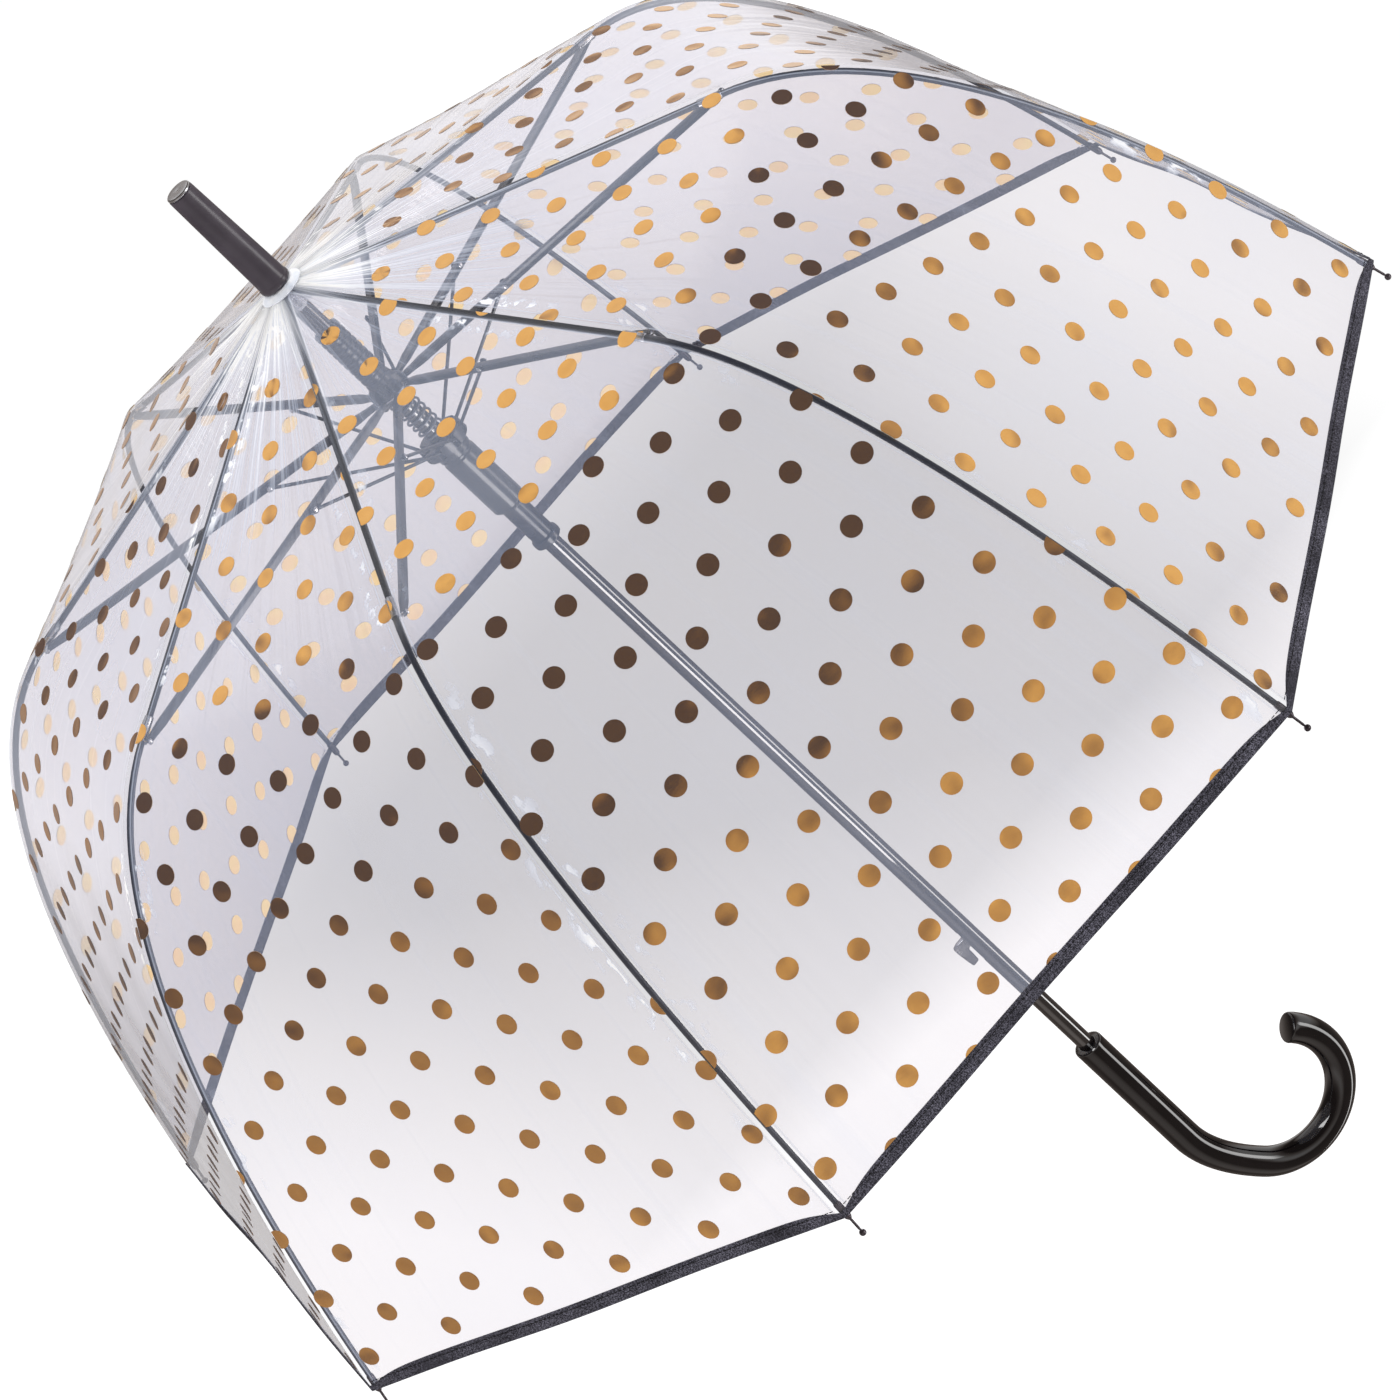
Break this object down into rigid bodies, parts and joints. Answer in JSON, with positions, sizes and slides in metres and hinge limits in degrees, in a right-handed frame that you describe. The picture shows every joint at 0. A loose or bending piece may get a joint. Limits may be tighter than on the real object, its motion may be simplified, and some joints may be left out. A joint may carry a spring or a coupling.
{
  "type": "clear bubble umbrella",
  "caption": "Clear dome umbrella with gold dots and a black hem tape, ribs, stretchers and links worked by a sprung runner on a straight shaft, tapered ferrule and crook handle.",
  "frame": {"origin": "the middle of the grip's straight stretch, on the shaft's centre line", "axes": "+Z along the shaft towards the ferrule, +X the side that the crook opens to, +Y across the crook"},
  "size_m": [0.7808, 0.7808, 0.9138],
  "materials": {
    "clear_film": "clear glossy film",
    "clear_plastic": "clear moulded plastic",
    "gold_dots": "printed gold foil",
    "hem_fabric": "woven black tape",
    "rib_black": "satin black",
    "rib_grey": "satin dark grey",
    "stretcher_black": "gloss black paint",
    "shaft_paint": "gloss black paint",
    "hub_plastic": "moulded black",
    "handle_gloss": "polished black",
    "ferrule_plastic": "satin black",
    "bright_steel": "plated steel",
    "spring_steel": "oiled spring steel"
  },
  "bodies": {
    "root": {"shaft_tube": "shaft_paint", "ferrule": "ferrule_plastic", "ferrule_cap": "bright_steel", "canopy_washer": "clear_plastic", "crown": "clear_plastic", "handle": "handle_gloss", "hem_tape": "hem_fabric", "gore_1": "clear_film", "gore_2": "clear_film", "gore_3": "clear_film", "gore_4": "clear_film", "gore_5": "clear_film", "gore_6": "clear_film", "gore_7": "clear_film", "gore_8": "clear_film"},
    "runner": {"runner": "hub_plastic", "runner_collar": "hub_plastic"},
    "upper_runner": {"upper_runner": "hub_plastic", "opening_spring": "spring_steel"},
    "runner_catch": {"runner_catch": "bright_steel"},
    "rib_1": {"rib_1": "rib_black"},
    "rib_end_1": {"rib_end_1": "rib_grey", "rib_tip_1": "bright_steel"},
    "stretcher_1": {"stretcher_1": "stretcher_black"},
    "wire_1": {"wire_1": "stretcher_black"},
    "rib_2": {"rib_2": "rib_black"},
    "rib_end_2": {"rib_end_2": "rib_grey", "rib_tip_2": "bright_steel"},
    "stretcher_2": {"stretcher_2": "stretcher_black"},
    "wire_2": {"wire_2": "stretcher_black"},
    "rib_3": {"rib_3": "rib_black"},
    "rib_end_3": {"rib_end_3": "rib_grey", "rib_tip_3": "bright_steel"},
    "stretcher_3": {"stretcher_3": "stretcher_black"},
    "wire_3": {"wire_3": "stretcher_black"},
    "rib_4": {"rib_4": "rib_black"},
    "rib_end_4": {"rib_end_4": "rib_grey", "rib_tip_4": "bright_steel"},
    "stretcher_4": {"stretcher_4": "stretcher_black"},
    "wire_4": {"wire_4": "stretcher_black"},
    "rib_5": {"rib_5": "rib_black"},
    "rib_end_5": {"rib_end_5": "rib_grey", "rib_tip_5": "bright_steel"},
    "stretcher_5": {"stretcher_5": "stretcher_black"},
    "wire_5": {"wire_5": "stretcher_black"},
    "rib_6": {"rib_6": "rib_black"},
    "rib_end_6": {"rib_end_6": "rib_grey", "rib_tip_6": "bright_steel"},
    "stretcher_6": {"stretcher_6": "stretcher_black"},
    "wire_6": {"wire_6": "stretcher_black"},
    "rib_7": {"rib_7": "rib_black"},
    "rib_end_7": {"rib_end_7": "rib_grey", "rib_tip_7": "bright_steel"},
    "stretcher_7": {"stretcher_7": "stretcher_black"},
    "wire_7": {"wire_7": "stretcher_black"},
    "rib_8": {"rib_8": "rib_black"},
    "rib_end_8": {"rib_end_8": "rib_grey", "rib_tip_8": "bright_steel"},
    "stretcher_8": {"stretcher_8": "stretcher_black"},
    "wire_8": {"wire_8": "stretcher_black"}
  },
  "joints": [
    {"name": "runner_slide", "type": "slide", "parent": "root", "child": "runner", "axis": [0, 0, -1], "range_m": [0, 0.34923], "deforming": ["gore_1", "gore_2", "gore_3", "gore_4", "gore_5", "gore_6", "gore_7", "gore_8", "hem_tape", "opening_spring"]},
    {"name": "upper_runner_slide", "type": "slide", "parent": "root", "child": "upper_runner", "axis": [0, 0, -1], "range_m": [0, 0.37647]},
    {"name": "catch_press", "type": "slide", "parent": "root", "child": "runner_catch", "axis": [1, 0, 0], "range_m": [0, 0.005], "stiffness_N_per_m": 600},
    {"name": "rib_1_fold", "type": "hinge", "parent": "root", "child": "rib_1", "pos_m": [0.00927, 0.00384, 0.71154], "axis": [-0.3827, 0.9239, 0], "range_deg": [0, 65.85]},
    {"name": "rib_1_flex", "type": "hinge", "parent": "rib_1", "child": "rib_end_1", "pos_m": [0.21668, 0.08975, 0.64461], "axis": [0.3827, -0.9239, 0], "range_deg": [0, 40.69]},
    {"name": "stretcher_1_fold", "type": "hinge", "parent": "upper_runner", "child": "stretcher_1", "pos_m": [0.00757, 0.00785, 0.633], "axis": [0.3827, -0.9239, 0], "range_deg": [0, 79.74]},
    {"name": "wire_1_fold", "type": "hinge", "parent": "runner", "child": "wire_1", "pos_m": [0.00483, 0.01055, 0.5925], "axis": [0.3827, -0.9239, 0], "range_deg": [0, 51.71]},
    {"name": "rib_2_fold", "type": "hinge", "parent": "root", "child": "rib_2", "pos_m": [0.00384, 0.00927, 0.71154], "axis": [-0.9239, 0.3827, 0], "range_deg": [0, 65.85]},
    {"name": "rib_2_flex", "type": "hinge", "parent": "rib_2", "child": "rib_end_2", "pos_m": [0.08975, 0.21668, 0.64461], "axis": [0.9239, -0.3827, 0], "range_deg": [0, 40.69]},
    {"name": "stretcher_2_fold", "type": "hinge", "parent": "upper_runner", "child": "stretcher_2", "pos_m": [-0.00019, 0.0109, 0.633], "axis": [0.9239, -0.3827, 0], "range_deg": [0, 79.74]},
    {"name": "wire_2_fold", "type": "hinge", "parent": "runner", "child": "wire_2", "pos_m": [-0.00405, 0.01088, 0.5925], "axis": [0.9239, -0.3827, 0], "range_deg": [0, 51.71]},
    {"name": "rib_3_fold", "type": "hinge", "parent": "root", "child": "rib_3", "pos_m": [-0.00384, 0.00927, 0.71154], "axis": [-0.9239, -0.3827, 0], "range_deg": [0, 65.85]},
    {"name": "rib_3_flex", "type": "hinge", "parent": "rib_3", "child": "rib_end_3", "pos_m": [-0.08975, 0.21668, 0.64461], "axis": [0.9239, 0.3827, 0], "range_deg": [0, 40.69]},
    {"name": "stretcher_3_fold", "type": "hinge", "parent": "upper_runner", "child": "stretcher_3", "pos_m": [-0.00785, 0.00757, 0.633], "axis": [0.9239, 0.3827, 0], "range_deg": [0, 79.74]},
    {"name": "wire_3_fold", "type": "hinge", "parent": "runner", "child": "wire_3", "pos_m": [-0.01055, 0.00483, 0.5925], "axis": [0.9239, 0.3827, 0], "range_deg": [0, 51.71]},
    {"name": "rib_4_fold", "type": "hinge", "parent": "root", "child": "rib_4", "pos_m": [-0.00927, 0.00384, 0.71154], "axis": [-0.3827, -0.9239, 0], "range_deg": [0, 65.85]},
    {"name": "rib_4_flex", "type": "hinge", "parent": "rib_4", "child": "rib_end_4", "pos_m": [-0.21668, 0.08975, 0.64461], "axis": [0.3827, 0.9239, 0], "range_deg": [0, 40.69]},
    {"name": "stretcher_4_fold", "type": "hinge", "parent": "upper_runner", "child": "stretcher_4", "pos_m": [-0.0109, -0.00019, 0.633], "axis": [0.3827, 0.9239, 0], "range_deg": [0, 79.74]},
    {"name": "wire_4_fold", "type": "hinge", "parent": "runner", "child": "wire_4", "pos_m": [-0.01088, -0.00405, 0.5925], "axis": [0.3827, 0.9239, 0], "range_deg": [0, 51.71]},
    {"name": "rib_5_fold", "type": "hinge", "parent": "root", "child": "rib_5", "pos_m": [-0.00927, -0.00384, 0.71154], "axis": [0.3827, -0.9239, 0], "range_deg": [0, 65.85]},
    {"name": "rib_5_flex", "type": "hinge", "parent": "rib_5", "child": "rib_end_5", "pos_m": [-0.21668, -0.08975, 0.64461], "axis": [-0.3827, 0.9239, 0], "range_deg": [0, 40.69]},
    {"name": "stretcher_5_fold", "type": "hinge", "parent": "upper_runner", "child": "stretcher_5", "pos_m": [-0.00757, -0.00785, 0.633], "axis": [-0.3827, 0.9239, 0], "range_deg": [0, 79.74]},
    {"name": "wire_5_fold", "type": "hinge", "parent": "runner", "child": "wire_5", "pos_m": [-0.00483, -0.01055, 0.5925], "axis": [-0.3827, 0.9239, 0], "range_deg": [0, 51.71]},
    {"name": "rib_6_fold", "type": "hinge", "parent": "root", "child": "rib_6", "pos_m": [-0.00384, -0.00927, 0.71154], "axis": [0.9239, -0.3827, 0], "range_deg": [0, 65.85]},
    {"name": "rib_6_flex", "type": "hinge", "parent": "rib_6", "child": "rib_end_6", "pos_m": [-0.08975, -0.21668, 0.64461], "axis": [-0.9239, 0.3827, 0], "range_deg": [0, 40.69]},
    {"name": "stretcher_6_fold", "type": "hinge", "parent": "upper_runner", "child": "stretcher_6", "pos_m": [0.00019, -0.0109, 0.633], "axis": [-0.9239, 0.3827, 0], "range_deg": [0, 79.74]},
    {"name": "wire_6_fold", "type": "hinge", "parent": "runner", "child": "wire_6", "pos_m": [0.00405, -0.01088, 0.5925], "axis": [-0.9239, 0.3827, 0], "range_deg": [0, 51.71]},
    {"name": "rib_7_fold", "type": "hinge", "parent": "root", "child": "rib_7", "pos_m": [0.00384, -0.00927, 0.71154], "axis": [0.9239, 0.3827, 0], "range_deg": [0, 65.85]},
    {"name": "rib_7_flex", "type": "hinge", "parent": "rib_7", "child": "rib_end_7", "pos_m": [0.08975, -0.21668, 0.64461], "axis": [-0.9239, -0.3827, 0], "range_deg": [0, 40.69]},
    {"name": "stretcher_7_fold", "type": "hinge", "parent": "upper_runner", "child": "stretcher_7", "pos_m": [0.00785, -0.00757, 0.633], "axis": [-0.9239, -0.3827, 0], "range_deg": [0, 79.74]},
    {"name": "wire_7_fold", "type": "hinge", "parent": "runner", "child": "wire_7", "pos_m": [0.01055, -0.00483, 0.5925], "axis": [-0.9239, -0.3827, 0], "range_deg": [0, 51.71]},
    {"name": "rib_8_fold", "type": "hinge", "parent": "root", "child": "rib_8", "pos_m": [0.00927, -0.00384, 0.71154], "axis": [0.3827, 0.9239, 0], "range_deg": [0, 65.85]},
    {"name": "rib_8_flex", "type": "hinge", "parent": "rib_8", "child": "rib_end_8", "pos_m": [0.21668, -0.08975, 0.64461], "axis": [-0.3827, -0.9239, 0], "range_deg": [0, 40.69]},
    {"name": "stretcher_8_fold", "type": "hinge", "parent": "upper_runner", "child": "stretcher_8", "pos_m": [0.0109, 0.00019, 0.633], "axis": [-0.3827, -0.9239, 0], "range_deg": [0, 79.74]},
    {"name": "wire_8_fold", "type": "hinge", "parent": "runner", "child": "wire_8", "pos_m": [0.01088, 0.00405, 0.5925], "axis": [-0.3827, -0.9239, 0], "range_deg": [0, 51.71]}
  ],
  "couplings": [
    {"joint": "upper_runner_slide", "follows": "runner_slide", "ratio": 1.0774},
    {"joint": "rib_1_fold", "follows": "runner_slide", "rad_per_m": 3.2886},
    {"joint": "rib_1_flex", "follows": "runner_slide", "rad_per_m": 2.0311},
    {"joint": "stretcher_1_fold", "follows": "runner_slide", "rad_per_m": 3.9829},
    {"joint": "wire_1_fold", "follows": "runner_slide", "rad_per_m": 2.5818},
    {"joint": "rib_2_fold", "follows": "runner_slide", "rad_per_m": 3.2886},
    {"joint": "rib_2_flex", "follows": "runner_slide", "rad_per_m": 2.0311},
    {"joint": "stretcher_2_fold", "follows": "runner_slide", "rad_per_m": 3.9829},
    {"joint": "wire_2_fold", "follows": "runner_slide", "rad_per_m": 2.5818},
    {"joint": "rib_3_fold", "follows": "runner_slide", "rad_per_m": 3.2886},
    {"joint": "rib_3_flex", "follows": "runner_slide", "rad_per_m": 2.0311},
    {"joint": "stretcher_3_fold", "follows": "runner_slide", "rad_per_m": 3.9829},
    {"joint": "wire_3_fold", "follows": "runner_slide", "rad_per_m": 2.5818},
    {"joint": "rib_4_fold", "follows": "runner_slide", "rad_per_m": 3.2886},
    {"joint": "rib_4_flex", "follows": "runner_slide", "rad_per_m": 2.0311},
    {"joint": "stretcher_4_fold", "follows": "runner_slide", "rad_per_m": 3.9829},
    {"joint": "wire_4_fold", "follows": "runner_slide", "rad_per_m": 2.5818},
    {"joint": "rib_5_fold", "follows": "runner_slide", "rad_per_m": 3.2886},
    {"joint": "rib_5_flex", "follows": "runner_slide", "rad_per_m": 2.0311},
    {"joint": "stretcher_5_fold", "follows": "runner_slide", "rad_per_m": 3.9829},
    {"joint": "wire_5_fold", "follows": "runner_slide", "rad_per_m": 2.5818},
    {"joint": "rib_6_fold", "follows": "runner_slide", "rad_per_m": 3.2886},
    {"joint": "rib_6_flex", "follows": "runner_slide", "rad_per_m": 2.0311},
    {"joint": "stretcher_6_fold", "follows": "runner_slide", "rad_per_m": 3.9829},
    {"joint": "wire_6_fold", "follows": "runner_slide", "rad_per_m": 2.5818},
    {"joint": "rib_7_fold", "follows": "runner_slide", "rad_per_m": 3.2886},
    {"joint": "rib_7_flex", "follows": "runner_slide", "rad_per_m": 2.0311},
    {"joint": "stretcher_7_fold", "follows": "runner_slide", "rad_per_m": 3.9829},
    {"joint": "wire_7_fold", "follows": "runner_slide", "rad_per_m": 2.5818},
    {"joint": "rib_8_fold", "follows": "runner_slide", "rad_per_m": 3.2886},
    {"joint": "rib_8_flex", "follows": "runner_slide", "rad_per_m": 2.0311},
    {"joint": "stretcher_8_fold", "follows": "runner_slide", "rad_per_m": 3.9829},
    {"joint": "wire_8_fold", "follows": "runner_slide", "rad_per_m": 2.5818}
  ]
}
